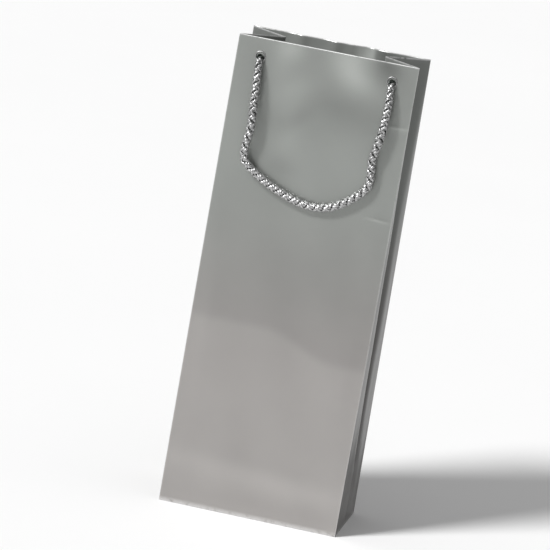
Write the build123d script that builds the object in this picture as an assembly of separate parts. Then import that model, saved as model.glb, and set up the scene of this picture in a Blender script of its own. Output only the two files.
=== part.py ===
from build123d import *
import os
from math import atan, hypot, pi, radians, tan

# A gift bag for one wine bottle: laminated paper with a square bottom, gussets
# that fold in towards the mouth, a turned-in hem over stiffener cards, four
# eyelets, and two rope handles knotted inside.
# Millimetres. The bag stands on z = 0, its front faces -Y and its width runs
# along X. The back is the front turned half a turn about Z.

# Driving dimensions of the bag
WIDTH = 130.0
HEIGHT = 340.0
BASE_DEPTH = 76.0
MOUTH_DEPTH = 50.0
PAPER = 0.3
CREASE_GAP = 0.8  # kept clear beside each crease, so that the panels never overlap

# Hem, cards and bottom
HEM_DROP = 42.0
HEM_HALF_WIDTH = 62.2
GUSSET_HEM_INSET = 2.5
STIFFENER = 0.8
STIFFENER_DROP = 38.0
STIFFENER_HALF_WIDTH = 62.6
SEAM_FLAP = 14.0
BASE_CARD = (125.0, 71.0, 1.0)
BASE_CARD_CLEARANCE = 0.3
FLAP_EDGE_CLEARANCE = 0.6
LONG_FLAP = 45.0
SIDE_FLAP = 36.0
SIDE_FLAP_TAPER = 20.0

# Eyelets
HOLE_SPAN = 95.0
HOLE_DROP = 13.2
BORE_RADIUS = 2.95
BARREL_RADIUS = 3.4
HOLE_CLEARANCE = 0.05
FLANGE_RADIUS = 3.9
FLANGE_THICKNESS = 0.7
WASHER_RADIUS = 4.4
WASHER_THICKNESS = 0.6
RIM_ROUND = 0.25

# Rope handles
ROPE = 5.5
STAND_OFF = 4.3  # from the panel's face to the middle of the hanging rope
SWING_GAP = 0.3  # between the rope in the eyelet and the rope that swings
KNOT_RADIUS = 5.0
KNOT_BITE = 1.5  # how far the rope in the eyelet runs into the knot
TAIL_LENGTH = 17.0

# The handle's route from the left eyelet to the right one: x, then the drop
# below the eyelets, both in the plane of the hanging handle.
HANDLE_ROUTE = [
    (-47.5, 0.0),
    (-46.4, 18.0),
    (-44.3, 42.0),
    (-46.9, 60.0),
    (-45.6, 74.5),
    (-33.0, 83.6),
    (-16.0, 91.8),
    (3.0, 97.6),
    (20.5, 95.6),
    (35.0, 86.4),
    (44.6, 74.5),
    (43.0, 57.5),
    (47.2, 38.0),
    (48.6, 18.0),
    (47.5, 0.0),
]

LEAN = atan((BASE_DEPTH - MOUTH_DEPTH) / 2 / HEIGHT)
SLOPE = hypot(HEIGHT, (BASE_DEPTH - MOUTH_DEPTH) / 2)
GUSSET_HALF = BASE_DEPTH / 2
CREASE_REACH = (GUSSET_HALF**2 - (MOUTH_DEPTH / 2) ** 2) ** 0.5
WALL = 2 * PAPER + STIFFENER  # paper, card and hem at an eyelet

FRONT = Plane((0, -BASE_DEPTH / 2, 0), x_dir=(1, 0, 0), z_dir=(0, -1, tan(LEAN)))
TURN_TO_BACK = Rot(0, 0, 180)


def along_normal(radius, low, high):
    """A round bar on a panel's normal, from low to high above the panel's face."""
    return Pos(0, 0, (low + high) / 2) * Cylinder(radius, high - low)


def at_hole(shape, side):
    """Puts a piece made about a hole's centre at the left (-1) or right (1) hole."""
    return FRONT * Pos(side * HOLE_SPAN / 2, SLOPE - HOLE_DROP, 0) * shape


def wall_sheet(half_width, drop, depth, thickness):
    """A pierced sheet hanging from the mouth, its outer face depth behind the panel's."""
    middle = Pos(0, SLOPE - drop / 2, -depth - thickness / 2)
    sheet = FRONT * middle * Box(2 * half_width, drop, thickness)
    for side in (-1, 1):
        sheet -= at_hole(along_normal(BARREL_RADIUS + HOLE_CLEARANCE, -5, 5), side)
    return sheet


def panel():
    return wall_sheet(WIDTH / 2, SLOPE - PAPER * tan(LEAN), 0, PAPER)


def hem():
    return wall_sheet(HEM_HALF_WIDTH, HEM_DROP, PAPER + STIFFENER, PAPER)


def stiffener_card():
    return wall_sheet(STIFFENER_HALF_WIDTH, STIFFENER_DROP, PAPER, STIFFENER)


def facet(corners, inset, shift=0.0):
    """A flat sheet of paper centred on the corners' plane, trimmed by inset all round."""
    first, second, third = (Vector(*corner) for corner in corners[:3])
    plane = Plane(first, x_dir=second - first, z_dir=(second - first).cross(third - first))
    flat = [plane.to_local_coords(Vector(*corner)) for corner in corners]
    outline = make_face(Polyline([(p.X, p.Y) for p in flat], close=True))
    trimmed = offset(outline, amount=-inset, kind=Kind.INTERSECTION)
    return plane * Pos(0, 0, shift) * extrude(trimmed, amount=PAPER / 2, both=True)


def gusset_corners(side, end):
    """Fold foot, fold top, crease foot and crease top of one gusset half."""
    wall = side * (WIDTH - PAPER) / 2
    fold_foot = (wall, end * BASE_DEPTH / 2, 0)
    fold_top = (wall, end * MOUTH_DEPTH / 2, HEIGHT)
    crease_foot = (wall, 0, GUSSET_HALF)
    crease_top = (wall - side * CREASE_REACH, 0, HEIGHT)
    return fold_foot, fold_top, crease_foot, crease_top


def gusset_half(side, end):
    """A facet flat in the bag's side, and one that folds in to the crease above it."""
    fold_foot, fold_top, crease_foot, crease_top = gusset_corners(side, end)
    outer = facet((fold_foot, crease_foot, fold_top), CREASE_GAP)
    inner = facet((crease_foot, crease_top, fold_top), CREASE_GAP)
    return Compound(children=[outer, inner])


def gusset_foot(side):
    """The flat triangle at the foot of a gusset, between the bottom's corners."""
    front, back = (gusset_corners(side, end)[0] for end in (-1, 1))
    return facet((front, back, gusset_corners(side, 1)[2]), CREASE_GAP)


def gusset_hem(side, end):
    """The turned-in edge on the inner face of one gusset half."""
    _, fold_top, crease_foot, crease_top = gusset_corners(side, end)
    share = 1 - HEM_DROP / (HEIGHT - GUSSET_HALF)
    start = Vector(*crease_foot)
    lows = [start + (Vector(*top) - start) * share for top in (crease_top, fold_top)]
    corners = [tuple(lows[0]), crease_top, fold_top, tuple(lows[1])]
    inward = PAPER * side * end
    return facet(corners, GUSSET_HEM_INSET, inward)


def seam_flap():
    """The glued overlap of the sheet's two ends, inside the back panel at its left edge."""
    length = SLOPE - HEM_DROP - 2 * CREASE_GAP
    across = HEM_HALF_WIDTH - SEAM_FLAP / 2
    flap = Pos(across, length / 2 + 1, -1.5 * PAPER) * Box(SEAM_FLAP, length - 2, PAPER)
    return TURN_TO_BACK * (FRONT * flap)


def long_bottom_flap(end, layer):
    """A full-width bottom flap folded in from the front (-1) or back (1) panel."""
    edge = BASE_DEPTH / 2 - FLAP_EDGE_CLEARANCE
    middle = Pos(0, end * (edge - LONG_FLAP / 2), (layer + 0.5) * PAPER)
    return middle * Box(WIDTH - 2 * FLAP_EDGE_CLEARANCE, LONG_FLAP, PAPER)


def side_bottom_flap(side, layer):
    """A tapered bottom flap folded in from a gusset, above the two long ones."""
    edge = WIDTH / 2 - FLAP_EDGE_CLEARANCE
    half = BASE_DEPTH / 2 - FLAP_EDGE_CLEARANCE
    root = [(side * edge, half), (side * edge, -half)]
    tip = [(side * (edge - SIDE_FLAP), -(half - SIDE_FLAP_TAPER))]
    tip.append((side * (edge - SIDE_FLAP), half - SIDE_FLAP_TAPER))
    outline = make_face(Polyline(root + tip, close=True))
    return Pos(0, 0, layer * PAPER) * extrude(outline, amount=PAPER, dir=(0, 0, 1))


def base_card():
    """The loose card that keeps the bottom square."""
    width, depth, thickness = BASE_CARD
    return Pos(0, 0, 3 * PAPER + BASE_CARD_CLEARANCE + thickness / 2) * Box(width, depth, thickness)


def eyelet():
    """A rolled metal eyelet about the hole's centre, with its washer inside the bag."""
    flange = along_normal(FLANGE_RADIUS, 0, FLANGE_THICKNESS)
    barrel = along_normal(BARREL_RADIUS, -WALL, 0)
    washer = along_normal(WASHER_RADIUS, -WALL - WASHER_THICKNESS, -WALL)
    body = flange + barrel + washer - along_normal(BORE_RADIUS, -10, 10)
    rims = body.edges().filter_by(GeomType.CIRCLE).group_by(Axis.Z)
    return fillet(rims[0] + rims[-1], RIM_ROUND)


def cord_stub():
    """The rope inside an eyelet, from the knot to just short of the swinging rope."""
    inner = -WALL - WASHER_THICKNESS - KNOT_BITE
    return along_normal(ROPE / 2, inner, STAND_OFF - ROPE / 2 - SWING_GAP)


def cord_knot():
    """The stopper knot behind an eyelet, with its tail hanging down inside the bag."""
    depth = -WALL - WASHER_THICKNESS - KNOT_RADIUS
    ball = Pos(0, 0, depth) * Sphere(KNOT_RADIUS)
    tail = Pos(0, -TAIL_LENGTH / 2, depth) * Rot(90, 0, 0) * Cylinder(ROPE / 2, TAIL_LENGTH)
    return ball + tail - cord_stub()


def corner_radii(route):
    """Arc radius at each corner: 0.45 of the shorter run over the tangent of half the turn."""
    points = [Vector(x, -drop, 0) for x, drop in route]
    radii = []
    for before, here, after in zip(points, points[1:], points[2:]):
        run_in, run_out = here - before, after - here
        shorter = min(run_in.length, run_out.length)
        radii.append(0.45 * shorter / tan(radians(run_in.get_angle(run_out)) / 2))
    return radii


def handle_cord():
    """The part of a handle that swings: a rope with a round end at each eyelet."""
    radii = corner_radii(HANDLE_ROUTE)
    path = FilletPolyline(*[(x, -drop, 0) for x, drop in HANDLE_ROUTE], radius=radii)
    section = Plane(path @ 0, z_dir=path % 0) * Circle(ROPE / 2)
    rope = sweep(section, path=path)
    print("handle radii", [round(radius, 1) for radius in radii])
    print("handle length", round(path.length, 1), "rope volume", round(rope.volume, 1))
    print("section times length", round(pi * ROPE**2 / 4 * path.length, 1))
    for end in (path @ 0, path @ 1):
        rope += Pos(end) * Sphere(ROPE / 2)
    return FRONT * Pos(0, SLOPE - HOLE_DROP, STAND_OFF) * rope


def wall_pieces():
    """Panels, cards, hems, eyelets and handles: the front's, then the same turned to the back."""
    front = {
        "panel": panel(),
        "hem": hem(),
        "stiffener_card": stiffener_card(),
        "handle_cord": handle_cord(),
    }
    makers = {"eyelet": eyelet, "cord_stub": cord_stub, "cord_knot": cord_knot}
    for side, word in ((-1, "left"), (1, "right")):
        for name, make in makers.items():
            front[f"{word}_{name}"] = at_hole(make(), side)
    swap = {"left": "right", "right": "left"}
    pieces = {f"front_{name}": piece for name, piece in front.items()}
    for name, piece in front.items():
        first, _, rest = name.partition("_")
        turned = f"{swap[first]}_{rest}" if first in swap else name
        pieces[f"back_{turned}"] = TURN_TO_BACK * piece
    return pieces


def side_pieces():
    """Gussets and their hems, by side."""
    pieces = {}
    for side, word in ((-1, "left"), (1, "right")):
        pieces[f"{word}_gusset_foot"] = gusset_foot(side)
        for end, half in ((-1, "front"), (1, "back")):
            pieces[f"{word}_gusset_{half}"] = gusset_half(side, end)
            pieces[f"{word}_gusset_{half}_hem"] = gusset_hem(side, end)
    return pieces


def bottom_pieces():
    return {
        "back_bottom_flap": long_bottom_flap(1, 0),
        "front_bottom_flap": long_bottom_flap(-1, 1),
        "left_bottom_flap": side_bottom_flap(-1, 2),
        "right_bottom_flap": side_bottom_flap(1, 2),
        "side_seam_flap": seam_flap(),
        "base_card": base_card(),
    }


os.makedirs("parts", exist_ok=True)
for node, shape in {**wall_pieces(), **side_pieces(), **bottom_pieces()}.items():
    export_step(shape, f"parts/{node}.step")
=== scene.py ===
import math

import bpy
import numpy as np
from mathutils import Matrix, Vector


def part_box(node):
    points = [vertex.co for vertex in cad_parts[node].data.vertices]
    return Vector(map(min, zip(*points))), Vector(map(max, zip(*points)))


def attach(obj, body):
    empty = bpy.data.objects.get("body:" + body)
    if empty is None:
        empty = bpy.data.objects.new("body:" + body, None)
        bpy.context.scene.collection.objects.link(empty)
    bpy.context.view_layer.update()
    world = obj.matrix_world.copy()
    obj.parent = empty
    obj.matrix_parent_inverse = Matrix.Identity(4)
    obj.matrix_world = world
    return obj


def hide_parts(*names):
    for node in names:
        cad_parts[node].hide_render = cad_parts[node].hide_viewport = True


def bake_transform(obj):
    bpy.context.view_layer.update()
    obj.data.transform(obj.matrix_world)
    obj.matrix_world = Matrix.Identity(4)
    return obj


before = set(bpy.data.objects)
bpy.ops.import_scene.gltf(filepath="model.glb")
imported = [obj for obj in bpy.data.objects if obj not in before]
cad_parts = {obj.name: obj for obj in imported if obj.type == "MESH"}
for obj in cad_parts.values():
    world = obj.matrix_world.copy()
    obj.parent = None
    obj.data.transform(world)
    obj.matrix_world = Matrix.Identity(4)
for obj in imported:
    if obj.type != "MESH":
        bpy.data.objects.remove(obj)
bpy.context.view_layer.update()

# Metres throughout. The bag stands on z = 0 and its front faces -Y.
MM = 0.001

# ---------------------------------------------------------------- sizes from the CAD parts
panel_low, panel_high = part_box("front_panel")
HALF_WIDTH = panel_high.x
HEIGHT = panel_high.z
BASE_HALF = -panel_low.y
PAPER = 0.3 * MM
MOUTH_HALF = -panel_high.y + PAPER
GUSSET_HALF = BASE_HALF
CREASE_REACH = math.sqrt(GUSSET_HALF**2 - MOUTH_HALF**2)
LEAN = math.atan((BASE_HALF - MOUTH_HALF) / HEIGHT)

# Hem and cards, as they are built in the CAD
HEM_DROP = 42 * MM
CARD_DROP = 38 * MM
CARD = 0.8 * MM
CARD_HALF_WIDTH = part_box("front_stiffener_card")[1].x
WALL = 2 * PAPER + CARD

# Holes and rope
HOLE_X = 47.5 * MM
HOLE_DROP = 13.2 * MM

# The handle's route from the left eyelet to the right one: x, the drop below the
# eyelets, and how far the rope's middle stands off the panel, which it leans on
# at the bottom of the loop and bows away from along its two legs.
HANDLE_ROUTE = [
    (-0.0475, 0.0022, 0.0030),
    (-0.0465, 0.0110, 0.0056),
    (-0.0452, 0.0270, 0.0080),
    (-0.0444, 0.0420, 0.0088),
    (-0.0441, 0.0530, 0.0084),
    (-0.0462, 0.0630, 0.0074),
    (-0.0458, 0.0735, 0.0064),
    (-0.0375, 0.0802, 0.0050),
    (-0.0280, 0.0862, 0.0040),
    (-0.0155, 0.0918, 0.0036),
    (-0.0015, 0.0966, 0.0036),
    (0.0120, 0.0974, 0.0036),
    (0.0245, 0.0938, 0.0036),
    (0.0355, 0.0858, 0.0038),
    (0.0445, 0.0770, 0.0042),
    (0.0453, 0.0665, 0.0050),
    (0.0437, 0.0560, 0.0062),
    (0.0472, 0.0415, 0.0078),
    (0.0488, 0.0270, 0.0080),
    (0.0486, 0.0110, 0.0056),
    (0.0475, 0.0022, 0.0030),
]

# ---------------------------------------------------------------- camera
CAMERA_AZIMUTH = 9.32
CAMERA_ELEVATION = 11.78
CAMERA_ROLL = 9.67
CAMERA_DISTANCE = 3.0
CAMERA_LENS = 275.3
CAMERA_AIM = (-15.22 * MM, 0.33 * MM)  # aside and above the bag's middle, in the picture's plane


def make_camera():
    """A long-lens camera turned clockwise about its own axis, aimed near the bag's middle."""
    azimuth, elevation = math.radians(CAMERA_AZIMUTH), math.radians(CAMERA_ELEVATION)
    ahead = Vector((
        -math.sin(azimuth) * math.cos(elevation),
        math.cos(azimuth) * math.cos(elevation),
        -math.sin(elevation),
    ))
    right = Vector((math.cos(azimuth), math.sin(azimuth), 0))
    up = right.cross(ahead)
    aim = Vector((0, 0, HEIGHT / 2)) + right * CAMERA_AIM[0] + up * CAMERA_AIM[1]
    camera = bpy.data.objects.new("camera", bpy.data.cameras.new("camera"))
    bpy.context.scene.collection.objects.link(camera)
    camera.data.lens = CAMERA_LENS
    camera.data.sensor_width = 36
    turn = Matrix((right, up, -ahead)).transposed() @ Matrix.Rotation(
        math.radians(CAMERA_ROLL), 3, "Z"
    )
    camera.matrix_world = Matrix.Translation(aim - ahead * CAMERA_DISTANCE) @ turn.to_4x4()
    camera.data.clip_start, camera.data.clip_end = 0.1, 100
    bpy.context.scene.camera = camera


# ---------------------------------------------------------------- mesh tools
def grid_faces(rows, columns, wrap_rows=False, wrap_columns=False):
    """Four-sided faces of a grid of points, as index rows, joined round where wrapped."""
    row = np.arange(rows if wrap_rows else rows - 1)
    column = np.arange(columns if wrap_columns else columns - 1)
    row, column = (a.ravel() for a in np.meshgrid(row, column, indexing="ij"))
    next_row, next_column = (row + 1) % rows, (column + 1) % columns
    corners = [(row, column), (row, next_column), (next_row, next_column), (next_row, column)]
    return np.stack([r * columns + c for r, c in corners], -1)


def outward(points, faces):
    """The faces, turned round if they enclose a negative volume."""
    a, b, c, d = (points[faces[:, i]] for i in range(4))
    volume = np.sum(a * (np.cross(b, c) + np.cross(c, d)))
    return faces[:, ::-1] if volume < 0 else faces


def piece(name, points, faces, materials, index=None, ends=(), smooth=True):
    """A mesh object from points, faces and closing end polygons, with a material per face."""
    mesh = bpy.data.meshes.new(name)
    mesh.from_pydata(points.tolist(), [], faces.tolist() + [list(end) for end in ends])
    for material in materials:
        mesh.materials.append(material)
    count = len(mesh.polygons)
    if index is not None:
        slots = np.zeros(count, np.int32)
        slots[: len(index)] = index
        mesh.polygons.foreach_set("material_index", slots)
    mesh.polygons.foreach_set("use_smooth", np.full(count, smooth))
    mesh.update()
    obj = bpy.data.objects.new(name, mesh)
    bpy.context.scene.collection.objects.link(obj)
    return obj


def add_attribute(obj, name, values):
    """One number per point, which the materials read."""
    attribute = obj.data.attributes.new(name, "FLOAT", "POINT")
    attribute.data.foreach_set("value", values.astype(np.float32).ravel())


def smoothstep(values, low, high):
    """A smooth 0 to 1 as the values go from low to high: three squares less two cubes of their share."""
    t = np.clip((values - low) / (high - low), 0, 1)
    return t * t * (3 - 2 * t)


# ---------------------------------------------------------------- material tools
class Nodes:
    """A short way to write a node tree: each call adds a node and links or sets its sockets."""

    def __init__(self, name):
        self.material = bpy.data.materials.new(name)
        self.material.use_nodes = True
        self.tree = self.material.node_tree
        self.tree.nodes.clear()
        self.output = self.tree.nodes.new("ShaderNodeOutputMaterial")

    def add(self, kind, inputs=None, **settings):
        """A node of one kind with its settings, and with its inputs linked or set."""
        node = self.tree.nodes.new("ShaderNode" + kind)
        for key, value in settings.items():
            setattr(node, key, value)
        for key, value in (inputs or {}).items():
            if isinstance(value, bpy.types.NodeSocket):
                self.tree.links.new(value, node.inputs[key])
            else:
                node.inputs[key].default_value = value
        return node

    def math(self, operation, *values):
        """The result of one operation on sockets or numbers."""
        return self.add("Math", dict(enumerate(values)), operation=operation).outputs[0]

    def ramp(self, value, low, high):
        """A smooth 0 to 1 as value goes from low to high."""
        node = self.add("MapRange", {"Value": value, "From Min": low, "From Max": high},
                        interpolation_type="SMOOTHSTEP")
        return node.outputs["Result"]

    def noise(self, coordinates, scale, detail=2.0, roughness=0.5):
        """Cloudy values about 0.5, finer for a larger scale."""
        inputs = {"Vector": coordinates, "Scale": scale, "Detail": detail, "Roughness": roughness}
        return self.add("TexNoise", inputs).outputs["Fac"]

    def mix(self, factor, first, second, blend="MIX"):
        """A colour from the first to the second as the factor goes from 0 to 1, or their product
        where blend says so."""
        node = self.add("Mix", data_type="RGBA", blend_type=blend)
        for socket, value in ((node.inputs[0], factor), (node.inputs[6], first), (node.inputs[7], second)):
            if isinstance(value, bpy.types.NodeSocket):
                self.tree.links.new(value, socket)
            else:
                socket.default_value = value
        return node.outputs[2]

    def bump(self, height, distance, strength=1.0, normal=None):
        """The normal of a relief of that height, on top of another normal where one is given."""
        inputs = {"Height": height, "Distance": distance, "Strength": strength}
        if normal is not None:
            inputs["Normal"] = normal
        return self.add("Bump", inputs).outputs["Normal"]

    def finish(self, **inputs):
        """The shader itself, with each named socket set or linked."""
        named = {key.replace("_", " "): value for key, value in inputs.items()}
        shader = self.add("BsdfPrincipled", named)
        self.tree.links.new(shader.outputs[0], self.output.inputs[0])
        return self.material


def grey(value, warm=0.0):
    """A grey as a colour, warmer for a positive second value."""
    return (value * (1 + warm), value, value * (1 - warm), 1.0)


# FILM_RUB_AND_HIGHLIGHT is the pale colour of rubbed folds and of the painted highlight along the rim and
# the foot's edge
FILM_DARK, FILM_BRIGHT, FILM_RUB_AND_HIGHLIGHT = 0.084, 0.545, 0.86
FOOT_TINT = (1.035, 0.992, 0.962, 1)
MOUTH_TINT = (0.975, 1.015, 0.968, 1)


def silver_laminate(name, metallic):
    """Satin silver film on paper: fine grain, soft mottling, cooler towards the mouth, folds rubbed paler
    with a painted highlight along the rim and the foot's edge, and the painted light and shade of its tone
    attribute."""
    n = Nodes(name)
    place = n.add("TexCoord").outputs["Object"]
    painted_light_tone = n.add("Attribute", attribute_name="painted_light_tone").outputs["Fac"]
    fold = n.add("Attribute", attribute_name="fold").outputs["Fac"]
    mottle = n.noise(place, 22.0, 3.0)
    grain = n.noise(place, 2600.0, 2.0)
    # paler folds: rubbed wear, and a painted highlight along the rim and the foot's edge
    paler_folds = n.math("MULTIPLY", fold, n.ramp(n.noise(place, 260.0, 3.0), 0.20, 0.50))
    # the tone attribute's painted light and shade, with a random mottle
    shade = n.math("ADD", painted_light_tone, n.math("MULTIPLY", n.math("SUBTRACT", mottle, 0.5), 0.20))
    level = n.math("ADD", 0.5, n.math("MULTIPLY", shade, 0.5))
    film = n.mix(level, grey(FILM_DARK), grey(FILM_BRIGHT))
    height = n.add("SeparateXYZ", {"Vector": place}).outputs["Z"]
    tint = n.mix(n.ramp(height, 0.11, 0.25), FOOT_TINT, MOUTH_TINT)
    tinted = n.mix(1.0, film, tint, "MULTIPLY")
    colour = n.mix(n.math("MULTIPLY", paler_folds, 0.8), tinted, grey(FILM_RUB_AND_HIGHLIGHT))
    rough = n.math("ADD", 0.34, n.math("MULTIPLY", n.math("SUBTRACT", grain, 0.5), 0.12))
    relief = n.bump(grain, 0.02 * MM, 0.5, n.bump(mottle, 0.5 * MM, 0.25))
    return n.finish(Base_Color=colour, Metallic=metallic, Roughness=rough, Normal=relief)


def white_paper():
    """The uncoated inside of the sheet: matt, off-white, with a fibrous tooth."""
    n = Nodes("white paper")
    place = n.add("TexCoord").outputs["Object"]
    fibre = n.noise(place, 1500.0, 4.0, 0.6)
    cloud = n.noise(place, 30.0, 3.0)
    colour = n.mix(cloud, grey(0.82, 0.01), grey(0.88, 0.015))
    return n.finish(Base_Color=colour, Roughness=0.85, Normal=n.bump(fibre, 0.03 * MM, 0.7))


def board(name, dark, light, fleck):
    """Pressed board: speckled pulp with a soft tooth."""
    n = Nodes(name)
    place = n.add("TexCoord").outputs["Object"]
    speckle = n.ramp(n.noise(place, 1100.0, 3.0, 0.7), 0.52, 0.72)
    cloud = n.noise(place, 60.0, 3.0)
    base = n.mix(cloud, grey(dark, 0.03), grey(light, 0.03))
    colour = n.mix(n.math("MULTIPLY", speckle, fleck), base, grey(dark * 0.6, 0.04))
    tooth = n.bump(n.noise(place, 900.0, 4.0), 0.05 * MM, 0.6)
    return n.finish(Base_Color=colour, Roughness=0.9, Normal=tooth)


def eyelet_metal():
    """Rolled aluminium with a satin face: faint turning marks and dull spots."""
    n = Nodes("eyelet metal")
    place = n.add("TexCoord").outputs["Object"]
    spots = n.noise(place, 700.0, 3.0)
    rough = n.math("ADD", 0.28, n.math("MULTIPLY", spots, 0.24))
    colour = n.mix(spots, grey(0.32), grey(0.48))
    return n.finish(Base_Color=colour, Metallic=1.0, Roughness=rough,
                    Normal=n.bump(n.noise(place, 2200.0, 2.0), 0.01 * MM, 0.5))


# Painted shade in the braid's grooves
PAINTED_GROOVE_SHADE = (0.038, 0.046, 0.041, 1)


def rope_yarn():
    """Metallised yarn: fine plies lie along each yarn, with painted shade that darkens it towards the
    grooves, away from its crown.
    """
    n = Nodes("silver yarn")
    uv = n.add("TexCoord").outputs["UV"]
    slant = n.add("Mapping", {"Vector": uv, "Scale": (1.0, 3.0, 1.0)}).outputs[0]
    plies = n.add("TexWave", {"Vector": slant, "Scale": 1.1, "Distortion": 1.2, "Detail": 2.0,
                              "Detail Scale": 2.0}, bands_direction="DIAGONAL").outputs["Fac"]
    place = n.add("TexCoord").outputs["Object"]
    glint = n.noise(place, 900.0, 2.0)
    height = n.add("Attribute", attribute_name="height").outputs["Fac"]
    # painted shade: the yarn takes the groove colour the lower it lies below the braid's crown
    crown = n.ramp(height, 0.50, 0.92)
    thread = n.mix(n.math("MULTIPLY", plies, glint), grey(0.36), grey(0.78))
    colour = n.mix(crown, PAINTED_GROOVE_SHADE, thread)
    rough = n.math("ADD", 0.20, n.math("MULTIPLY", glint, 0.22))
    return n.finish(Base_Color=colour, Metallic=0.85, Roughness=rough,
                    Normal=n.bump(plies, 0.14 * MM, 0.8))


def rope_core():
    """The filler seen between the strands, coloured near black as painted shade in the gaps."""
    n = Nodes("rope core")
    place = n.add("TexCoord").outputs["Object"]
    fibre = n.noise(place, 1800.0, 3.0)
    return n.finish(Base_Color=n.mix(fibre, grey(0.05), grey(0.10)), Roughness=0.7,
                    Normal=n.bump(fibre, 0.1 * MM, 0.8))


def floor_paper():
    """Plain pale studio paper."""
    n = Nodes("pale floor")
    place = n.add("TexCoord").outputs["Object"]
    cloud = n.noise(place, 3.0, 2.0)
    return n.finish(Base_Color=n.mix(cloud, grey(0.90), grey(0.92)), Roughness=0.9)


# ---------------------------------------------------------------- the bag's wall
# The wall is one sheet. p runs along the sheet round the bag, from the front's
# left fold: front, right gusset (two halves), back, left gusset (two halves).
FOLDS = np.cumsum([0, 2 * HALF_WIDTH, GUSSET_HALF, GUSSET_HALF, 2 * HALF_WIDTH, GUSSET_HALF, GUSSET_HALF])
GIRTH = FOLDS[-1]
KNEE_SOFTNESS = 0.10  # how gently a gusset half leaves the bag's side, as a share of its width
FOOT_SOFTNESS = 0.02  # how gently the gussets start to fold in above their feet


def half_depth(z):
    """Half the bag's depth at height z: it narrows evenly to the mouth."""
    return BASE_HALF - (BASE_HALF - MOUTH_HALF) * z / HEIGHT


def gusset_share(z):
    """How far the gussets have folded in at height z, from 0 at their feet to 1 at the mouth."""
    t = (z - GUSSET_HALF) / (HEIGHT - GUSSET_HALF)
    rise = 0.5 * (t + np.sqrt(t * t + FOOT_SOFTNESS**2))
    return rise / (0.5 * (1 + math.sqrt(1 + FOOT_SOFTNESS**2)))


def gusset_line(share_of_half, z):
    """x and |y| on a gusset half: down the side, then in to the crease past a soft knee."""
    depth = half_depth(z)
    folded = gusset_share(z)
    start = 1 - folded * MOUTH_HALF / depth

    def knee(t):
        return 0.5 * (t - start + np.sqrt((t - start) ** 2 + KNEE_SOFTNESS**2))

    inward = (knee(share_of_half) - knee(0)) / (knee(1) - knee(0))
    return HALF_WIDTH - CREASE_REACH * folded * inward, depth * (1 - share_of_half)


def sharp_section(p, z):
    """x and y on the sheet's outer face with every fold sharp."""
    p = np.mod(p, GIRTH)
    depth = half_depth(z)
    front = p < FOLDS[1]
    back = (p >= FOLDS[3]) & (p < FOLDS[4])
    right = (p >= FOLDS[1]) & (p < FOLDS[3])
    from_crease = np.where(right, p - FOLDS[2], p - FOLDS[5])
    share = np.clip(1 - np.abs(from_crease) / GUSSET_HALF, 0, 1)
    gusset_x, gusset_y = gusset_line(share, z)
    end = np.where(right, np.sign(from_crease), -np.sign(from_crease))
    x = np.where(right, gusset_x, -gusset_x)
    y = end * gusset_y
    x = np.where(front, p - HALF_WIDTH, np.where(back, HALF_WIDTH - (p - FOLDS[3]), x))
    y = np.where(front, -depth, np.where(back, depth, y))
    return np.stack([x, y], -1)


FOLD_ROUNDING = 0.45 * MM
ROUNDING_STEPS = np.linspace(-1, 1, 7)
ROUNDING_WEIGHTS = 1 - 0.7 * np.abs(ROUNDING_STEPS)


def section(p, z):
    """The sheet's outer face with its folds rounded: the mean of nearby points along it."""
    total = sum(
        weight * sharp_section(p + step * FOLD_ROUNDING, z)
        for step, weight in zip(ROUNDING_STEPS, ROUNDING_WEIGHTS)
    )
    return total / ROUNDING_WEIGHTS.sum()


def outward_normal(p, z):
    """The level direction out of the sheet, square to its run round the bag."""
    step = 0.25 * MM
    along = section(p + step, z) - section(p - step, z)
    along /= np.linalg.norm(along, axis=-1, keepdims=True)
    return np.stack([along[..., 1], -along[..., 0]], -1)


def fold_distance(p):
    """Distance along the sheet to the nearest of the six upright folds."""
    gaps = np.abs(np.mod(p, GIRTH)[..., None] - FOLDS)
    return gaps.min(-1)


def hump(x, z, middle, reach, turn=0.0):
    """A smooth bump of height 1 about middle, with reach along and across its turned axes."""
    c, s = math.cos(turn), math.sin(turn)
    u = ((x - middle[0]) * c + (z - middle[1]) * s) / reach[0]
    v = (-(x - middle[0]) * s + (z - middle[1]) * c) / reach[1]
    return np.exp(-(u * u + v * v))


def humps(x, z, table):
    """The sum of a table's bumps: each row has a height, a middle, a reach and sometimes a turn."""
    return sum(height * hump(x, z, *shape) for height, *shape in table)


def fine_line(x, drop, through, slope, width, fade):
    """A line of height 1 and a small width through a point, which fades out as a bump does."""
    across = (drop - through[1] - slope * (x - through[0])) / width
    return np.exp(-(across**2)) * hump(x, drop, *fade)


def window(values, low, high, soft):
    """1 between low and high, falling smoothly to 0 over soft inside each of them."""
    return smoothstep(values, low, low + soft) * (1 - smoothstep(values, high - soft, high))


def crease_distance(p):
    """Distance along the sheet to the nearer of the two gussets' creases."""
    return np.minimum(np.abs(p - FOLDS[2]), np.abs(p - FOLDS[5]))


def rim_fade(drop, reach):
    """1 at the mouth's rim, fading smoothly to nothing past reach below it."""
    return np.exp(-((drop / reach) ** 2))


# Slow waves: height in millimetres, turns round the bag, climb, and start
WAVES = [
    (0.30, 3, 9, 0.4),
    (0.22, 5, -23, 1.9),
    (0.14, 9, 41, 0.7),
    (0.10, 14, -58, 2.2),
]
# Dents in the front: height in millimetres, middle as x and drop below the rim, reach, and turn
DENTS = [
    (0.85, (0.010, 0.070), (0.026, 0.024)),
    (-0.30, (-0.030, 0.045), (0.010, 0.022), -0.6),
    (0.35, (0.024, 0.012), (0.020, 0.009), 0.35),
    (-0.35, (0.043, 0.006), (0.008, 0.012), 0.5),
    (-0.25, (0.048, 0.100), (0.014, 0.030), 0.1),
    (0.55, (-0.010, 0.235), (0.055, 0.050)),
    (0.30, (0.0, 0.308), (0.080, 0.010), 0.06),
]
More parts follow.
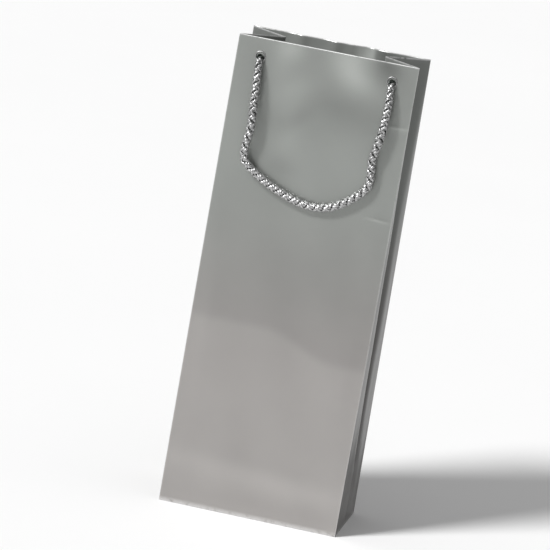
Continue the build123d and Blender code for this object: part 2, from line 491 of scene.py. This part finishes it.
# Crumples of the back's rim, in the same columns
CRUMPLES = [
    (-1.2, (0.036, 0), (0.007, 0.017), -0.3),
    (0.6, (0.050, 0.006), (0.007, 0.018)),
    (-1.5, (-0.0034, 0), (0.0040, 0.012), 0.1),
    (1.0, (-0.014, 0), (0.009, 0.013)),
    (-1.6, (-0.029, 0), (0.0036, 0.010), -0.2),
    (1.0, (-0.039, 0), (0.007, 0.012), -0.2),
]
FLARE_HEIGHT = 2.7  # how far the back's rim bends outwards, in millimetres
CARD_MARK = (0.060, 0.0445)  # x and drop where the front card's lower edge shows through
NICK = (0.055, 0.111)  # x and drop of a small crease near the front's right fold
NICK_SLOPE = 0.06
NICK_MIDDLE = (0.0555, 0.111)
STIFF_SPREAD = 14 * MM  # how far the stiffness of a fold or of the hem reaches


def slack(p, z):
    """How far the paper stands off its flat shape: slow waves, and dents from handling."""
    angle = 2 * math.pi * p / GIRTH
    waves = sum(height * np.sin(turns * angle + climb * z + start) for height, turns, climb, start in WAVES)
    x = np.mod(p, GIRTH) - HALF_WIDTH
    drop = HEIGHT - z
    front = window(p, 0, FOLDS[1], 4 * MM)
    card_edge = 0.10 * fine_line(x, drop, CARD_MARK, 0, 1.6 * MM, (CARD_MARK, (0.014, 0.01)))
    nick = 0.12 * fine_line(x, drop, NICK, NICK_SLOPE, 1.3 * MM, (NICK_MIDDLE, (0.0075, 0.01)))
    from_crease = crease_distance(p)
    gusset = 1 - smoothstep(from_crease, GUSSET_HALF - 1.5 * MM, GUSSET_HALF)
    diagonal = np.exp(-(((from_crease + z - GUSSET_HALF) / (0.9 * MM)) ** 2))
    upright = np.exp(-((from_crease / (0.8 * MM)) ** 2)) * (1 - smoothstep(z, 0.030, 0.040))
    creases = -0.28 * gusset * np.maximum(diagonal, upright) * smoothstep(z, 0, 4 * MM)
    back_x = HALF_WIDTH - (p - FOLDS[3])
    back = window(p, FOLDS[3], FOLDS[4], 5 * MM)
    flare = smoothstep(back_x, 0.008, 0.019) * (1 - smoothstep(back_x, 0.0212, 0.0290))
    bottom_crease = np.exp(-(((z - GUSSET_HALF) / (0.9 * MM)) ** 2))
    bent = FLARE_HEIGHT * flare * rim_fade(drop, 0.015)
    crumple = bent + humps(back_x, drop, CRUMPLES) - 0.25 * bottom_crease
    free = smoothstep(fold_distance(p), 0.5 * MM, STIFF_SPREAD)
    hem_edge = HEIGHT - HEM_DROP
    stiff = 1 - 0.75 * smoothstep(z, hem_edge - STIFF_SPREAD, hem_edge + STIFF_SPREAD)
    foot = smoothstep(z, 0, 25 * MM)
    marks = (card_edge + nick) * smoothstep(fold_distance(p), 0, 3 * MM)
    handled = front * (humps(x, drop, DENTS) * free * foot + marks)
    return MM * (waves * free * stiff * foot + creases + back * crumple + handled)


def wall_depth(p, z):
    """Thickness of the turned-in wall: paper, card and hem on the wide panels, two papers elsewhere."""
    p = np.mod(p, GIRTH)
    front_x = np.abs(p - HALF_WIDTH)
    back_x = np.abs(p - FOLDS[3] - HALF_WIDTH)
    x = np.minimum(front_x, back_x)
    carded = 1 - smoothstep(x, CARD_HALF_WIDTH - 1.5 * MM, CARD_HALF_WIDTH + 0.5 * MM)
    carded = carded * smoothstep(z, HEIGHT - CARD_DROP - 1.2 * MM, HEIGHT - CARD_DROP + 0.4 * MM)
    near_fold = 1 - smoothstep(fold_distance(p), 0.5 * MM, 2.5 * MM)
    return 2 * PAPER + CARD * carded - 0.5 * PAPER * near_fold


def on_wall(p, z, depth):
    """A point at arc length p and height z, depth behind the sheet's outer face."""
    level = section(p, z) + outward_normal(p, z) * (slack(p, z) - depth)[..., None]
    return np.concatenate([level, np.broadcast_to(z, p.shape)[..., None]], -1)


FINE_PLACES = np.array([0, 0.25, 0.5, 0.9, 1.5]) * MM  # distances from a fold or a fine line


def spaced(low, high, step, fine=()):
    """Even steps from low to high, with extra places close to each fine one."""
    base = np.linspace(low, high, int(round((high - low) / step)) + 1)
    extra = [place + sign * FINE_PLACES for place in fine for sign in (-1, 1)]
    places = np.concatenate([base, *extra])
    return np.unique(np.round(places[(places >= low) & (places <= high)], 7))


# Painted reflections and painted shade on the front, as paler and darker patches: strength, middle as x and
# drop, reach, and turn
FRONT_PAINTED_PATCHES = [
    (0.55, (0.0165, 0.001), (0.014, 0.009), 0.1),
    (0.55, (0.021, 0.0135), (0.016, 0.010), 0.5),
    (0.45, (-0.0275, 0.003), (0.011, 0.008), 0.2),
    (0.20, (-0.031, 0.014), (0.009, 0.012), 0.5),
    (0.22, (-0.018, 0.030), (0.013, 0.010), -0.3),
    (-0.55, (0.043, 0.003), (0.011, 0.008), 0.5),
    (-0.15, (0.012, 0.038), (0.026, 0.009), 0.2),
    (-0.16, (-0.012, 0.050), (0.012, 0.006), -0.7),
    (0.16, (-0.019, 0.069), (0.010, 0.012)),
    (0.10, (0.016, 0.064), (0.016, 0.012)),
    (-0.13, (-0.020, 0.087), (0.011, 0.009)),
    (-0.10, (0.020, 0.170), (0.060, 0.035), 0.1),
    (0.10, (-0.065, 0.060), (0.016, 0.080)),
]
# The same painted reflections and shade near the foot, with the middle as x and height
FOOT_PAINTED_PATCHES = [
    (0.14, (0.0, 0.030), (0.090, 0.008), -0.06),
    (-0.08, (0.020, 0.010), (0.060, 0.007)),
]


def painted_tone_of(p, z):
    """Painted light and shade on the film. On the front: a painted reflection that makes it paler below a
    soft step two fifths of the way up, painted pale and dark patches, and painted highlights along the
    card's edge and the nick. On the gussets: painted shade."""
    p = np.mod(p, GIRTH)
    x = p - HALF_WIDTH
    drop = HEIGHT - z
    step = 0.1385 - 0.017 * smoothstep(x, -0.012, 0.042)
    # painted reflection: the front is paler below this soft step
    low = 1 - smoothstep(z, step - 5 * MM, step + 4 * MM)
    # painted highlights along the card's lower edge and along the nick
    card_edge = fine_line(x, drop, CARD_MARK, 0, 1.1 * MM, (CARD_MARK, (0.012, 0.01)))
    nick = fine_line(x, drop, NICK, NICK_SLOPE, 1.0 * MM, (NICK_MIDDLE, (0.0070, 0.01)))
    patches = humps(x, drop, FRONT_PAINTED_PATCHES) + humps(x, z, FOOT_PAINTED_PATCHES)
    front = 0.20 * low + patches + 0.30 * (card_edge + nick)
    # painted shade on both gussets, deepest about 10 cm up, lighter at the foot and towards the mouth
    gusset = 1 - smoothstep(crease_distance(p), GUSSET_HALF - 1.2 * MM, GUSSET_HALF - 0.2 * MM)
    painted_gusset_shade = 0.66 + 0.34 * smoothstep(z, 0, 0.09) - 0.35 * smoothstep(z, 0.10, 0.30)
    return np.where(np.abs(x) < HALF_WIDTH, front, 0.0) - painted_gusset_shade * gusset


def inside_painted_tone(p, z):
    """Painted light and shade on the film inside the mouth: a strong painted highlight where the back
    panel's rim flares out, painted shade on the bent stretch beside that, a faint painted highlight along
    one slanting streak, and three tenths of the outside's painted tone."""
    p = np.mod(p, GIRTH)
    x = HALF_WIDTH - (p - FOLDS[3])
    drop = HEIGHT - z
    back = smoothstep(HALF_WIDTH - np.abs(x), 0, 3 * MM)
    flare = smoothstep(x, 0.008, 0.014) * (1 - smoothstep(x, 0.0225, 0.0265)) * rim_fade(drop, 0.020)
    bend = hump(x, drop, (0.033, 0.0), (0.007, 0.020))
    streak = hump(x, drop, (-0.030, 0.0), (0.010, 0.020), -0.4)
    return 0.3 * painted_tone_of(p, z) + back * (0.90 * flare - 0.45 * bend + 0.15 * streak)


RIM_BEND_X = 24.9 * MM  # where the back's rim turns sharply beside its flare
FOOT_EDGE, RIM_EDGE = 0.8 * MM, 1.2 * MM  # where the wall's face ends above the foot and below the rim
# The lip under the wall: height, and depth behind the outer face, in millimetres
LIP = ((0.45, 0.3), (0.35, 0.6), (0.3, 1.8), (0.0, 1.8), (0.0, 0.6), (0.2, 0.12))
LIP_SILVER = 4  # how many of its last bands show the film's silver side


def paper_wall(silver, hem_silver, white):
    """The folded sheet as one closed skin: up the outside, over the rim, down the hem's face,
    in behind the hem's cut edge, and down the inside to a lip that turns under the bottom."""
    hem_edge, rim_start = HEIGHT - HEM_DROP, HEIGHT - RIM_EDGE
    bend = FOLDS[3] + HALF_WIDTH - RIM_BEND_X
    p = spaced(0, GIRTH, 2.2 * MM, [*FOLDS, bend])[:-1]
    heights = spaced(FOOT_EDGE, rim_start, 2.8 * MM, [HEIGHT - CARD_MARK[1], HEIGHT - NICK[1]])
    inner_heights = spaced(FOOT_EDGE, hem_edge, 4.0 * MM)[::-1]
    hem_heights = spaced(hem_edge, rim_start, 2.4 * MM, [HEIGHT - CARD_DROP])[::-1]
    rim_turn = np.linspace(0, math.pi, 9)
    top = np.full_like(p, HEIGHT)
    rim = wall_depth(p, top)
    rows = [(np.full_like(p, z), np.zeros_like(p)) for z in heights]
    for turn in rim_turn:
        rows.append((top - rim / 2 * (1 - math.sin(turn)), rim / 2 * (1 - math.cos(turn))))
    rows += [(np.full_like(p, z), wall_depth(p, np.full_like(p, z))) for z in hem_heights]
    silver_rows = len(rows)
    rows += [(np.full_like(p, z), np.full_like(p, PAPER)) for z in inner_heights]
    rows += [(np.full_like(p, z * MM), np.full_like(p, depth * MM)) for z, depth in LIP]
    grid = np.stack([on_wall(p, z, depth) for z, depth in rows])
    points = grid.reshape(-1, 3)
    faces = grid_faces(len(rows), len(p), True, True)
    row = faces[:, 0] // len(p)
    hem_start = len(heights) + len(rim_turn) - 1
    index = np.select([row < hem_start, row < silver_rows, row >= len(rows) - LIP_SILVER], [0, 1, 0], 2)
    wall = piece("paper_body", points, outward(points, faces), [silver, hem_silver, white], index)
    # Paler folds: rubbed wear on the upright folds, a painted highlight along the foot's edge and a
    # stronger painted highlight along the rim
    paler_folds = 0.35 * np.exp(-((fold_distance(p) / (0.5 * MM)) ** 2))
    low = np.stack([0.8 * np.exp(-((z / (1.1 * MM)) ** 2)) for z, _ in rows])
    high = np.stack([np.exp(-(((HEIGHT - z) / (0.6 * MM)) ** 2)) for z, _ in rows])
    add_attribute(wall, "fold", np.maximum(np.maximum(paler_folds[None], low), high))
    inner = np.arange(len(rows)) >= len(heights) + len(rim_turn) // 2
    # painted light and shade for the film, outside and inside the mouth
    painted_light_tone = np.stack([(inside_painted_tone if within else painted_tone_of)(p, z) for within, (z, _) in zip(inner, rows)])
    add_attribute(wall, "painted_light_tone", painted_light_tone)
    return wall


PATCH_STEP = 3.0 * MM


def wall_patch(name, materials, p_range, z_range, depth, thickness):
    """A closed thin sheet that follows the wall, from depth to depth plus thickness behind its face."""
    p = spaced(*p_range, PATCH_STEP)
    z = spaced(*z_range, PATCH_STEP)
    p_grid, z_grid = np.meshgrid(p, z)
    front = on_wall(p_grid, z_grid, np.full_like(p_grid, depth))
    back = on_wall(p_grid, z_grid, np.full_like(p_grid, depth + thickness))
    return slab(name, front, back, materials)


def slab(name, front, back, materials):
    """A closed sheet between two grids of the same shape, with square edges."""
    rows, columns = front.shape[:2]
    points = np.concatenate([front.reshape(-1, 3), back.reshape(-1, 3)])
    face = grid_faces(rows, columns)
    ring = np.concatenate([
        np.arange(columns - 1),
        np.arange(rows - 1) * columns + columns - 1,
        (rows - 1) * columns + np.arange(columns - 1, 0, -1),
        np.arange(rows - 1, 0, -1) * columns,
    ])
    after = np.roll(ring, -1)
    count = rows * columns
    side = np.stack([after, ring, ring + count, after + count], -1)
    faces = np.concatenate([face, face[:, ::-1] + count, side])
    index = np.where(np.arange(len(faces)) < len(face), 0, len(materials) - 1)
    return piece(name, points, outward(points, faces), materials, index, smooth=False)


# ---------------------------------------------------------------- bottom
LIP_REACH = 1.85 * MM  # from the bag's outer face to the edge of each bottom flap
LONG_FLAP = 45 * MM
SIDE_FLAP = 36 * MM
SIDE_FLAP_TAPER = 20 * MM


def bottom_flap(name, fold, tip, layers, materials):
    """A closed level sheet between a fold line and a tip line, straight from one to the other. It
    climbs from its first layer at the fold to its second, and ripples slightly away from its edges."""
    along, away = np.meshgrid(np.linspace(0, 1, 44), np.linspace(0, 1, 24))
    fold, tip = np.array(fold), np.array(tip)
    reach = np.linalg.norm(tip.mean(0) - fold.mean(0))
    across, out = along[..., None], away[..., None]
    near, far = (line[0] * (1 - across) + line[1] * across for line in (fold, tip))
    level = near * (1 - out) + far * out
    climb = layers[0] + (layers[1] - layers[0]) * smoothstep(away * reach, 0, 3 * MM)
    ripple = 0.04 * MM * np.sin(math.pi * along) * np.sin(math.pi * away) * np.sin(7 * along + 5 * away)
    bottom = np.concatenate([level, (PAPER * climb + ripple)[..., None]], -1)
    top = bottom + np.array([0, 0, 0.9 * PAPER])
    return slab(name, bottom, top, materials)


def flap_outlines():
    """Name, fold line, tip line and layers of each flap: two of full width, two tapered above them."""
    across, deep = HALF_WIDTH - LIP_REACH, BASE_HALF - LIP_REACH
    for word, end, layers in (("back", 1, (0, 0)), ("front", -1, (0, 1.05))):
        y = np.array([deep, deep - LONG_FLAP]) * end
        yield word, [(-across, y[0]), (across, y[0])], [(-across, y[1]), (across, y[1])], layers
    for word, side in (("left", -1), ("right", 1)):
        x = np.array([across, across - SIDE_FLAP]) * side
        tip = deep - SIDE_FLAP_TAPER
        yield word, [(x[0], -deep), (x[0], deep)], [(x[1], -tip), (x[1], tip)], (2.1, 2.1)


# ---------------------------------------------------------------- eyelets and rope
FACE_NORMAL = np.array([0, -math.cos(LEAN), math.sin(LEAN)])
FACE_DOWN = np.array([0, -math.sin(LEAN), -math.cos(LEAN)])
HOLE_HEIGHT = HEIGHT - HOLE_DROP * math.cos(LEAN)
HOLE_CENTRE = np.array([0, -half_depth(HOLE_HEIGHT), HOLE_HEIGHT])
TURN = np.diag([-1.0, -1.0, 1.0])  # half a turn about Z, from the front to the back


def from_face(x, off, drop):
    """A point x along the panel, off its face and drop below the holes' line."""
    x, off, drop = np.broadcast_arrays(x, off, drop)
    return (HOLE_CENTRE + x[..., None] * np.array([1.0, 0, 0])
            + off[..., None] * FACE_NORMAL + drop[..., None] * FACE_DOWN)


EYELET_FLANGE, EYELET_BORE, EYELET_BARREL = 3.9 * MM, 2.95 * MM, 3.3 * MM  # radii
DOME_HEIGHT = 0.45 * MM
CURL_WIDTH, CURL_HEIGHT = 0.75 * MM, 0.45 * MM


def eyelet_points(x):
    """A rolled eyelet turned about its hole's axis: a domed flange, the barrel, and a curled washer."""
    dome = np.linspace(0, math.pi, 11)
    middle, half = (EYELET_FLANGE + EYELET_BORE) / 2, (EYELET_FLANGE - EYELET_BORE) / 2
    radius = [middle + half * np.cos(dome)]
    off = [0.05 * MM + DOME_HEIGHT * np.sin(dome)]
    curl = np.linspace(-0.5 * math.pi, 0.75 * math.pi, 9)
    radius.append(np.array([EYELET_BORE]))
    off.append(np.array([-WALL - 0.1 * MM]))
    radius.append(EYELET_BORE + CURL_WIDTH - CURL_WIDTH * np.cos(curl + 0.5 * math.pi))
    off.append(-WALL - 0.1 * MM - CURL_HEIGHT * np.sin(curl + 0.5 * math.pi))
    radius.append(np.array([EYELET_BARREL + 0.1 * MM, EYELET_BARREL, EYELET_BARREL]))
    off.append(np.array([-WALL, -WALL + 0.1 * MM, -0.05 * MM]))
    radius, off = np.concatenate(radius), np.concatenate(off)
    around = np.linspace(0, 2 * math.pi, 48, endpoint=False)
    across = x + radius[:, None] * np.cos(around)
    drop = radius[:, None] * np.sin(around)
    return from_face(across, off[:, None], drop)


def make_eyelet(name, x, turn, material):
    """One eyelet's section carried round its hole, then turned to its panel."""
    grid = eyelet_points(x) @ turn.T
    points = grid.reshape(-1, 3)
    faces = grid_faces(*grid.shape[:2], True, True)
    return piece(name, points, outward(points, faces), [material])


def line_points(points):
    """Points read along one NURBS spline whose control points are the route's."""
    curve = bpy.data.curves.new("route", "CURVE")
    curve.dimensions = "3D"
    curve.resolution_u = 24
    spline = curve.splines.new("NURBS")
    spline.points.add(len(points) - 1)
    spline.points.foreach_set("co", np.c_[points, np.ones(len(points))].ravel())
    spline.order_u = 3
    spline.use_endpoint_u = True
    carrier = bpy.data.objects.new("route", curve)
    bpy.context.scene.collection.objects.link(carrier)
    bpy.context.view_layer.update()
    mesh = bpy.data.meshes.new_from_object(carrier.evaluated_get(bpy.context.evaluated_depsgraph_get()))
    read = np.zeros(len(mesh.vertices) * 3)
    mesh.vertices.foreach_get("co", read)
    bpy.data.objects.remove(carrier)
    return read.reshape(-1, 3)


def even(points, step):
    """The same line with points at even steps of its own length."""
    gaps = np.linalg.norm(np.diff(points, axis=0), axis=1)
    keep = np.concatenate([[True], gaps > 1e-9])
    points = points[keep]
    length = np.concatenate([[0], np.cumsum(np.linalg.norm(np.diff(points, axis=0), axis=1))])
    places = np.linspace(0, length[-1], int(length[-1] / step) + 1)
    return np.stack([np.interp(places, length, points[:, i]) for i in range(3)], -1), places


def unit(vectors):
    """The same directions with a length of 1."""
    return vectors / np.linalg.norm(vectors, axis=-1, keepdims=True)


BRAID_PITCH = 12.2 * MM
CARRIERS = 2  # each way round
YARNS = 2  # side by side on each carrier
YARN_HALF_WIDTH = 1.02 * MM
YARN_HALF_THICKNESS = 0.56 * MM
OVER_UNDER = 0.48 * MM
YARN_SPREAD = 0.60  # turn of each yarn of a pair from the pair's middle, in radians
BRAID_RADIUS = 3.15 * MM
CROSSING_SHARPNESS = 1.6  # how quickly a yarn changes from over to under
CORE_SHARE = 0.62  # the filler's radius as a share of the yarns' mean radius
SIDES = 10  # of each yarn's section and of the filler's
UNSHADED = (-2 * MM, -1 * MM)  # for a braid with no painted shade at its ends


def braid(name, line, reference, scale, yarn, core, shaded):
    """A coarse round braid of paired yarns on a line. Each yarn's middle is a helix that swells
    where it crosses above the yarns of the other hand and sinks where it crosses below them; its
    section is an oval. scale is a number, or one per point of reference; reference is a
    direction for each point, never along the line. Painted shade darkens the yarn over the shaded
    stretch at each end, and a little over the 60 mm nearest each end, fading out by 85 mm."""
    points, length = even(line, 0.45 * MM)
    share = np.linspace(0, 1, len(points))
    given = np.linspace(0, 1, len(reference))
    side = np.stack([np.interp(share, given, reference[:, i]) for i in range(3)], -1)
    scale = np.interp(share, given, np.broadcast_to(scale, len(reference)))
    ahead = unit(np.gradient(points, axis=0))
    first = unit(side - np.sum(side * ahead, -1, keepdims=True) * ahead)
    second = np.cross(ahead, first)
    mean = (BRAID_RADIUS - YARN_HALF_THICKNESS - OVER_UNDER) * scale
    pitch = BRAID_PITCH * scale.mean()
    hand, start = [], []
    for way in (1.0, -1.0):
        for carrier in range(CARRIERS):
            for place in np.linspace(-1, 1, YARNS):
                hand.append(way)
                start.append(carrier * 2 * math.pi / CARRIERS + place * YARN_SPREAD)
    hand, start = np.array(hand)[:, None], np.array(start)[:, None]
    angle = hand * 2 * math.pi * length / pitch + start
    crossing = np.cos(2 * math.pi * CARRIERS * length / pitch)
    swell = np.tanh(CROSSING_SHARPNESS * crossing) / math.tanh(CROSSING_SHARPNESS)
    radius = mean + hand * OVER_UNDER * scale * swell
    out = np.cos(angle)[..., None] * first + np.sin(angle)[..., None] * second
    centre = points + radius[..., None] * out
    along = unit(np.gradient(centre, axis=1))
    up = unit(out - np.sum(out * along, -1, keepdims=True) * along)
    aside = np.cross(along, up)
    around = np.linspace(0, 2 * math.pi, SIDES, endpoint=False)
    wide = (YARN_HALF_WIDTH * scale)[:, None] * np.cos(around)
    thick = (YARN_HALF_THICKNESS * scale)[:, None] * np.sin(around)
    yarns = centre[:, :, None] + aside[:, :, None] * wide[..., None] + up[:, :, None] * thick[..., None]
    filler = points[:, None] + (CORE_SHARE * mean)[:, None, None] * (
        np.cos(around)[:, None] * first[:, None] + np.sin(around)[:, None] * second[:, None])
    grids = [*yarns, filler]
    rope = tubes(name, grids, [0] * len(yarns) + [1], [yarn, core], length)
    # the height attribute paints shade: points nearer the braid's middle are darker
    height = [np.linalg.norm(grid - points[:, None], axis=-1) / (BRAID_RADIUS * scale)[:, None]
              for grid in grids]
    from_end = np.minimum(length, length[-1] - length)
    # painted shade: below 1 darkens the yarn near each end, inside its eyelet, and a little along the first
    # 60 mm
    shade_free_share = smoothstep(from_end, *shaded) * (0.90 + 0.10 * smoothstep(from_end, 60 * MM, 85 * MM))
    add_attribute(rope, "height", np.concatenate([(h * shade_free_share[:, None]).ravel() for h in height]))
    return rope


def tubes(name, grids, slots, materials, length):
    """Several closed tubes as one mesh, with a map of length and turn for each."""
    points, faces, index, ends = [], [], [], []
    start = 0
    uv_u, uv_v = [], []
    for grid, slot in zip(grids, slots):
        rows, columns = grid.shape[:2]
        flat = grid.reshape(-1, 3)
        face = outward(flat, grid_faces(rows, columns, False, True))
        flipped = face[0, 1] != 1
        points.append(flat)
        faces.append(face + start)
        index.append(np.full(len(face), slot))
        first = np.arange(columns) + start
        last = first + (rows - 1) * columns
        ends += [first if flipped else first[::-1], last[::-1] if flipped else last]
        uv_u.append(np.repeat(length / (4 * MM), columns))
        uv_v.append(np.tile(np.arange(columns) / columns, rows))
        start += len(flat)
    obj = piece(name, np.concatenate(points), np.concatenate(faces), materials, np.concatenate(index), ends)
    layer = obj.data.uv_layers.new(name="along")
    corner = np.zeros(len(obj.data.loops), np.int32)
    obj.data.loops.foreach_get("vertex_index", corner)
    uv = np.stack([np.concatenate(uv_u)[corner], np.concatenate(uv_v)[corner]], -1)
    layer.data.foreach_set("uv", uv.ravel())
    return obj


ENTRY_DEPTH = 5.0 * MM
END_SCALE = 0.90  # the rope is drawn in where it passes through its eyelets
LEAVING_ANGLE = math.radians(31)  # how far the rope's bend points below the panel's normal
BEND_START, BEND_END = 2.0 * MM, 8.0 * MM  # reaches along the rope's bend, out from each eyelet


def from_nearer_end(line):
    """Distance along a line of points to the nearer of its two ends."""
    gaps = np.linalg.norm(np.diff(line, axis=0), axis=1)
    length = np.concatenate([[0], np.cumsum(gaps)])
    return np.minimum(length, length[-1] - length)


def handle_line(turn):
    """The handle's spline: out of the left eyelet, round the route, and into the right one."""
    across, drop, off = np.array(HANDLE_ROUTE).T
    hanging = from_face(across, off, drop)
    inside = from_face(np.array([-HOLE_X, HOLE_X]), np.array(-ENTRY_DEPTH), np.array(0.4 * MM))
    mouth = from_face(np.array([-HOLE_X, HOLE_X]), np.array(-0.2 * MM), np.array(0.5 * MM))
    control = np.concatenate([inside[:1], mouth[:1], hanging, mouth[1:], inside[1:]])
    return line_points(control) @ turn.T


def handle_reference(line, turn):
    """Along X near the eyelets and along the panel's normal round the loop, turning in between."""
    share = smoothstep(from_nearer_end(line), 20 * MM, 60 * MM)[:, None]
    return ((1 - share) * np.array([1.0, 0, 0]) + share * FACE_NORMAL) @ turn.T


def make_handle(word, turn, yarn, core):
    """A braid along the handle's line, out of one eyelet, round the loop and into the other."""
    line = handle_line(turn)
    scale = END_SCALE + (1 - END_SCALE) * smoothstep(from_nearer_end(line), 5 * MM, 13 * MM)
    # painted shade over the rope's last 4.5 mm at each end, inside its eyelet, fading out by 8.5 mm
    rope = braid(f"{word}_rope_handle", line, handle_reference(line, turn), scale, yarn, core,
                 (4.5 * MM, 8.5 * MM))
    sides = ("left", "right")
    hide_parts(f"{word}_handle_cord", *(f"{word}_{side}_cord_stub" for side in sides))
    out, down = math.cos(LEAVING_ANGLE), math.sin(LEAVING_ANGLE)
    start, end = (from_face(np.array(0.0), np.array(reach * out), np.array(reach * down)) @ turn.T
                  for reach in (BEND_START, BEND_END))
    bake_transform(rope)
    exit_point = from_face(np.array(-HOLE_X), np.array(0.0), np.array(0.0)) @ turn.T
    return rope


KNOT_SIZE = 1.12 * MM
KNOT_SCALE = 0.72  # the rope is pulled thinner in its knots
KNOT_DEPTH = WALL + 6.4 * MM  # from the panel's face to the knot's middle
TAIL_POINTS = 14


def knot_line(x, turn):
    """An overhand knot pulled up short behind the eyelet, with its tail hanging down.
    The loops are a trefoil: sums of a slow and a fast turn, tilted across the rope."""
    t = np.linspace(0.55, 2 * math.pi - 0.30, 60)
    across = KNOT_SIZE * (np.sin(t) + 2 * np.sin(2 * t))
    down = -KNOT_SIZE * (np.cos(t) - 2 * np.cos(2 * t))
    deep = KNOT_SIZE * 1.5 * np.sin(3 * t)
    centre = -KNOT_DEPTH
    loops = from_face(x + across, centre + deep, down)
    tail_drop = np.linspace(4, 21, TAIL_POINTS) * MM
    bend = smoothstep(tail_drop, 4 * MM, 12 * MM)
    tail_x = loops[-1] - from_face(np.array(x), np.array(centre), np.array(0.0))
    tail = from_face(x + tail_x[0] * (1 - bend), centre + 1.5 * MM * (1 - bend), tail_drop)
    return np.concatenate([loops, tail]) @ turn.T


def make_knot(word, side_word, x, turn, yarn, core):
    """A thinner braid along every third point of the knot's line."""
    line = line_points(knot_line(x, turn)[::3])
    reference = np.tile(np.array([0.6, 0.2, 0.77]) @ turn.T, (len(line), 1))
    knot = braid(f"{word}_{side_word}_knot", line, reference, KNOT_SCALE, yarn, core, UNSHADED)
    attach(knot, "bag")
    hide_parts(f"{word}_{side_word}_cord_knot")
    return knot


# ---------------------------------------------------------------- lights and floor
def make_floor(material):
    """A wide level sheet under the bag."""
    reach = 30.0
    corners = np.array([(-reach, -reach), (reach, -reach), (reach, reach), (-reach, reach)])
    points = np.c_[corners, np.full(4, -0.05 * MM)]
    floor = piece("floor", points, np.array([[0, 1, 2, 3]]), [material])


ROOM_DARK, ROOM_BRIGHT = 1.12, 5.5
ROOM_TOWARDS = (-0.36, 0.56, 0.745)  # where the room is brightest
# Each sun's direction, strength and apparent width in degrees
KEY_SUN = ((0.66, 0.80, -0.86), 3.5, 13)
FILL_SUN = ((-0.1, 0.25, -0.95), 0.5, 60)


def make_world():
    """A pale room whose brightness falls smoothly from its bright side to the opposite one."""
    world = bpy.data.worlds.new("studio")
    world.use_nodes = True
    tree = world.node_tree
    towards = tree.nodes.new("ShaderNodeTexCoord")
    facing = tree.nodes.new("ShaderNodeVectorMath")
    facing.operation = "DOT_PRODUCT"
    facing.inputs[1].default_value = ROOM_TOWARDS
    ramp = tree.nodes.new("ShaderNodeMapRange")
    ramp.interpolation_type = "SMOOTHSTEP"
    tree.links.new(towards.outputs["Generated"], facing.inputs[0])
    tree.links.new(facing.outputs["Value"], ramp.inputs["Value"])
    limits = (("From Min", -0.9), ("From Max", 1.0), ("To Min", ROOM_DARK), ("To Max", ROOM_BRIGHT))
    for name, value in limits:
        ramp.inputs[name].default_value = value
    tree.links.new(ramp.outputs["Result"], tree.nodes["Background"].inputs["Strength"])
    bpy.context.scene.world = world


def make_sun(name, ahead, strength, softness):
    """A wide soft light from far away, shining along ahead."""
    light = bpy.data.lights.new(name, "SUN")
    light.energy, light.angle = strength, math.radians(softness)
    obj = bpy.data.objects.new(name, light)
    bpy.context.scene.collection.objects.link(obj)
    obj.rotation_mode = "QUATERNION"
    obj.rotation_quaternion = Vector(ahead).to_track_quat("-Z", "Y")


def make_lights():
    """The room, a key sun from the front left, and a wide weak fill from above."""
    make_world()
    make_sun("key", *KEY_SUN)
    make_sun("fill", *FILL_SUN)


# ---------------------------------------------------------------- assembly
make_camera()
silver, white = silver_laminate("silver laminate", 0.7), white_paper()
hem_silver = silver_laminate("silver laminate of the hem", 0.3)
grey_board, white_card = board("grey board", 0.36, 0.46, 0.5), board("white card", 0.78, 0.85, 0.15)
metal, yarn, core = eyelet_metal(), rope_yarn(), rope_core()

for word, turn in (("front", np.eye(3)), ("back", TURN)):
    for side in (-1, 1):
        place = "left" if side * turn[0, 0] < 0 else "right"
        make_knot(word, place, side * HOLE_X, turn, yarn, core)
        ring = make_eyelet(f"{word}_{place}_rolled_eyelet", side * HOLE_X, turn, metal)
        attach(ring, "bag")
        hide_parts(f"{word}_{place}_eyelet")
    make_handle(word, turn, yarn, core)

wall = paper_wall(silver, hem_silver, white)
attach(wall, "bag")
PAPER_ENDINGS = ("_panel", "_hem", "_gusset_front", "_gusset_back", "_gusset_foot")
PAPER_NODES = [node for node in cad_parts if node.endswith(PAPER_ENDINGS)]
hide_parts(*PAPER_NODES)

for word, first in (("front", 0), ("back", FOLDS[3])):
    middle, reach = first + HALF_WIDTH, CARD_HALF_WIDTH - 1 * MM
    span = (middle - reach, middle + reach)
    card = wall_patch(f"{word}_card", [grey_board], span, (HEIGHT - CARD_DROP + 0.5 * MM, HEIGHT - 1 * MM),
                      PAPER + 0.08 * MM, CARD - 0.16 * MM)
    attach(card, "bag")
    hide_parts(f"{word}_stiffener_card")

seam = wall_patch("glued_seam", [white], (FOLDS[4] - 16.8 * MM, FOLDS[4] - 2.8 * MM),
                  (2 * MM, HEIGHT - HEM_DROP - 1 * MM), PAPER, PAPER)
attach(seam, "bag")
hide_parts("side_seam_flap")

for word, fold, tip, layers in flap_outlines():
    flap = bottom_flap(f"{word}_glued_flap", fold, tip, layers, [silver, white])
    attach(flap, "bag")
    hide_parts(f"{word}_bottom_flap")

card_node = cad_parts["base_card"]
card_node.data.materials.clear()
card_node.data.materials.append(white_card)

make_floor(floor_paper())
make_lights()
bpy.context.scene.view_settings.view_transform = "Standard"
